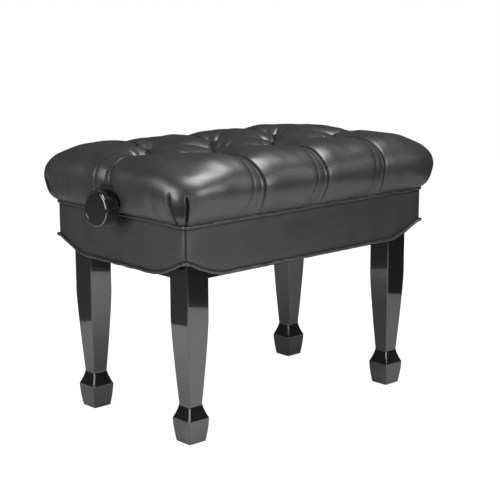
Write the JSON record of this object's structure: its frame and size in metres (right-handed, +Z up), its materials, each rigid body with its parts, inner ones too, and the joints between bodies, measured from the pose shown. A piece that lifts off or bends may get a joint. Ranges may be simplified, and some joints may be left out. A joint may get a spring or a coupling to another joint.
{
  "type": "adjustable piano bench",
  "caption": "Height-adjustable piano bench: deep-tufted leather seat and padded skirt on a knob-driven scissor lift, over square tapered legs with spade feet.",
  "frame": {"origin": "on the floor under the middle of the bench", "axes": "+X along the seat to the right-hand knob, +Y to the back, +Z up; seat fully down"},
  "size_m": [0.654, 0.4028, 0.474],
  "materials": {
    "black_lacquer": "hardwood under polished black lacquer",
    "black_leather": "black satin leather, fine grain",
    "padded_leather": null,
    "gloss_black_knob": "gloss black moulding",
    "plywood": "bare birch plywood",
    "zinc_steel": "bright zinc plate",
    "channel_steel": "satin black powder coat",
    "arm_steel": "satin black powder coat",
    "black_steel": "blackened steel",
    "bush_brass": "machined brass",
    "cast_block": "painted casting",
    "white_nylon": "natural nylon",
    "black_nylon": "black nylon",
    "waxed_twine": "waxed upholstery twine"
  },
  "bodies": {
    "base": {"leg_front_left": "black_lacquer", "leg_front_right": "black_lacquer", "leg_back_left": "black_lacquer", "leg_back_right": "black_lacquer", "foot_glides": "black_nylon", "rail_front": "black_lacquer", "rail_back": "black_lacquer", "rail_left": "black_lacquer", "rail_right": "black_lacquer", "corner_bracket_front_left": "channel_steel", "corner_bracket_front_right": "channel_steel", "corner_bracket_back_left": "channel_steel", "corner_bracket_back_right": "channel_steel", "hanger_bolts": "zinc_steel", "hanger_nuts": "zinc_steel", "base_screws": "zinc_steel", "lower_channel_front": "channel_steel", "lower_channel_back": "channel_steel", "lower_pivot_rod": "zinc_steel"},
    "seat": {"seat_board": "plywood", "box_board_front": "plywood", "box_board_back": "plywood", "box_board_left": "plywood", "box_board_right": "plywood", "seat_board_screws": "zinc_steel", "skirt_cover": "black_leather", "top_welt": "black_leather", "bottom_welt": "black_leather", "cushion_pad": "padded_leather", "side_roll_front": "padded_leather", "side_roll_back": "padded_leather", "side_roll_left": "padded_leather", "side_roll_right": "padded_leather", "tuft_buttons": "black_leather", "tuft_ties": "waxed_twine", "upper_channel_front": "channel_steel", "upper_channel_back": "channel_steel", "shoulder_bolts": "zinc_steel", "shaft_bush_left": "bush_brass", "shaft_bush_right": "bush_brass", "thrust_block": "cast_block", "under_board_screws": "zinc_steel"},
    "lift_shaft": {"lead_screw": "zinc_steel", "knob_left": "gloss_black_knob", "knob_right": "gloss_black_knob", "thrust_collars": "zinc_steel", "grub_screws": "black_steel"},
    "cross_bar": {"nut_bar": "arm_steel", "drive_nut": "bush_brass"},
    "outer_arms": {"outer_arm_front": "arm_steel", "outer_arm_back": "arm_steel", "outer_arm_tube": "arm_steel", "outer_arm_pins": "zinc_steel", "upper_rollers": "white_nylon"},
    "inner_arms": {"inner_arm_front": "arm_steel", "inner_arm_back": "arm_steel", "inner_arm_rod": "zinc_steel", "lower_rollers": "white_nylon"}
  },
  "joints": [
    {"name": "seat_lift", "type": "slide", "parent": "base", "child": "seat", "axis": [0, 0, 1], "range_m": [0, 0.085]},
    {"name": "knob_turn", "type": "hinge", "parent": "seat", "child": "lift_shaft", "pos_m": [0, 0, 0.384], "axis": [1, 0, 0], "range_deg": [0, 2179.6]},
    {"name": "nut_travel", "type": "slide", "parent": "seat", "child": "cross_bar", "axis": [-1, 0, 0], "range_m": [0, 0.02423]},
    {"name": "outer_arm_turn", "type": "hinge", "parent": "base", "child": "outer_arms", "pos_m": [-0.1825, 0, 0.316], "axis": [0, -1, 0], "range_deg": [0, 13.74]},
    {"name": "inner_arm_turn", "type": "hinge", "parent": "seat", "child": "inner_arms", "pos_m": [-0.1825, 0, 0.374], "axis": [0, 1, 0], "range_deg": [0, 13.74]}
  ],
  "couplings": [
    {"joint": "knob_turn", "follows": "seat_lift", "rad_per_m": 447.34},
    {"joint": "nut_travel", "follows": "seat_lift", "ratio": 0.28479},
    {"joint": "outer_arm_turn", "follows": "seat_lift", "rad_per_m": 2.8201},
    {"joint": "inner_arm_turn", "follows": "seat_lift", "rad_per_m": 2.8201}
  ]
}
